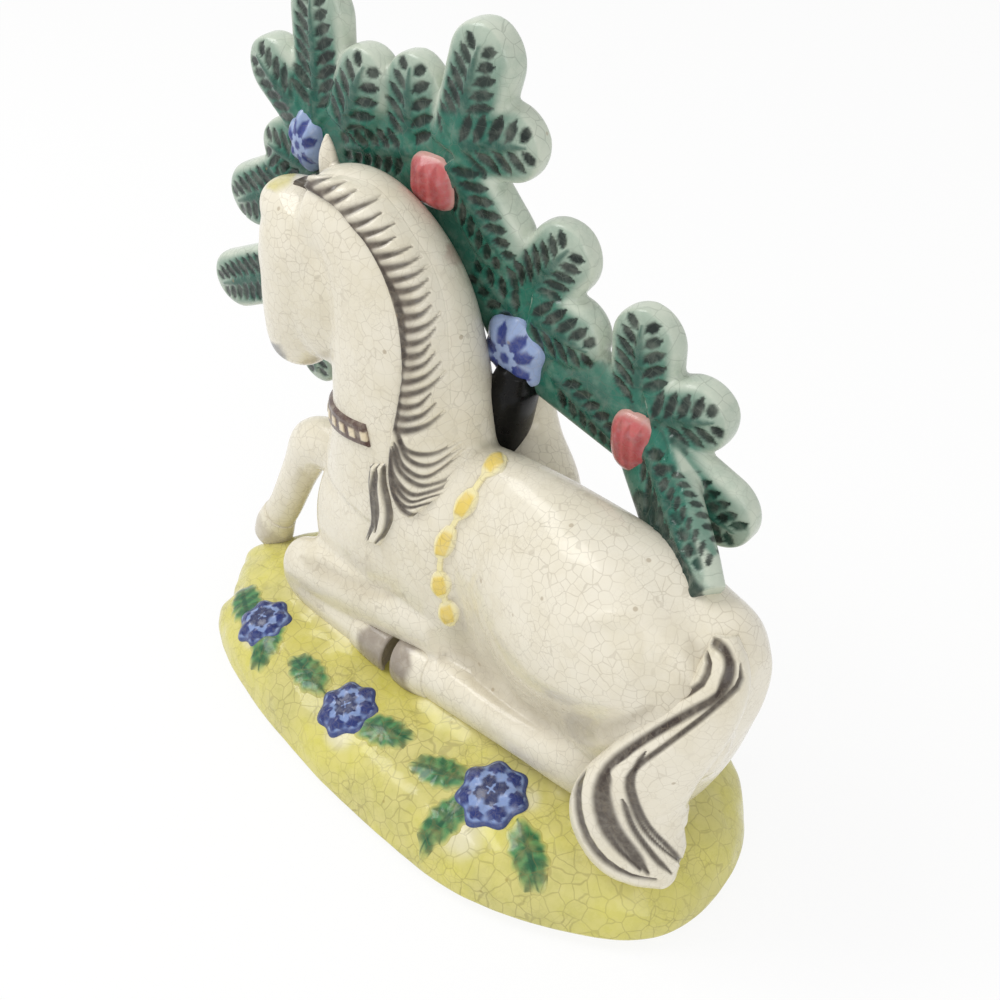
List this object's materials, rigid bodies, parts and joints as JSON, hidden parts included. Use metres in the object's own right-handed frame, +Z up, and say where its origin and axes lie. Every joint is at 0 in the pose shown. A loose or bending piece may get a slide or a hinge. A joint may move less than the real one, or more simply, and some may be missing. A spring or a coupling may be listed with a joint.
{
  "type": "unicorn figurine",
  "caption": "Glazed earthenware figurine of a unicorn lying on a flowered mound, before a screen of moulded leaves and flowers.",
  "frame": {"origin": "on the flat underside, under the middle of the base's length and width", "axes": "+X towards the tail end, -Y towards the viewer of the painted front, +Z up"},
  "size_m": [0.1537, 0.0683, 0.1432],
  "materials": {
    "body_glaze": "glossy crackled glaze",
    "mound_glaze": "glossy crackled glaze",
    "horn_glaze": "glossy crackled glaze",
    "hoof_glaze": "glossy crackled glaze",
    "hair_glaze": "glossy crackled glaze",
    "collar_glaze": "glossy crackled glaze",
    "girth_glaze": "glossy crackled glaze",
    "foliage_glaze": "glossy crackled glaze",
    "trunk_glaze": "glossy crackled glaze",
    "blue_flower_glaze": "glossy crackled glaze",
    "red_flower_glaze": "glossy crackled glaze",
    "ground_flower_glaze": "glossy crackled glaze",
    "ground_leaf_glaze": "glossy crackled glaze"
  },
  "bodies": {
    "root": {"back_post": "body_glaze", "base_flower_1": "ground_flower_glaze", "base_flower_2": "ground_flower_glaze", "base_flower_3": "ground_flower_glaze", "base_leaf_1_1": "ground_leaf_glaze", "base_leaf_1_2": "ground_leaf_glaze", "base_leaf_2_1": "ground_leaf_glaze", "base_leaf_2_2": "ground_leaf_glaze", "base_leaf_3_1": "ground_leaf_glaze", "base_leaf_3_2": "ground_leaf_glaze", "base_leaf_3_3": "ground_leaf_glaze", "base_mound": "mound_glaze", "bocage_flower_1": "blue_flower_glaze", "bocage_flower_2": "red_flower_glaze", "bocage_flower_3": "blue_flower_glaze", "bocage_flower_4": "red_flower_glaze", "branch_1": "foliage_glaze", "branch_2": "foliage_glaze", "branch_3": "foliage_glaze", "branch_4": "foliage_glaze", "branch_5": "foliage_glaze", "collar": "collar_glaze", "far_ear": "body_glaze", "far_fore_hoof": "hoof_glaze", "far_foreleg": "body_glaze", "far_haunch": "body_glaze", "far_hind_hoof": "hoof_glaze", "far_hind_leg": "body_glaze", "girth_chain": "girth_glaze", "head": "body_glaze", "horn": "horn_glaze", "leaf_01": "foliage_glaze", "leaf_02": "foliage_glaze", "leaf_03": "foliage_glaze", "leaf_04": "foliage_glaze", "leaf_05": "foliage_glaze", "leaf_06": "foliage_glaze", "leaf_07": "foliage_glaze", "leaf_08": "foliage_glaze", "leaf_09": "foliage_glaze", "leaf_10": "foliage_glaze", "leaf_11": "foliage_glaze", "leaf_12": "foliage_glaze", "leaf_13": "foliage_glaze", "leaf_14": "foliage_glaze", "leaf_15": "foliage_glaze", "leaf_16": "foliage_glaze", "mane": "hair_glaze", "mane_lock": "hair_glaze", "near_ear": "body_glaze", "near_fore_hoof": "hoof_glaze", "near_foreleg": "body_glaze", "near_haunch": "body_glaze", "near_hind_hoof": "hoof_glaze", "near_hind_leg": "body_glaze", "neck": "body_glaze", "tail": "hair_glaze", "torso": "body_glaze", "trunk": "trunk_glaze"}
  },
  "joints": []
}
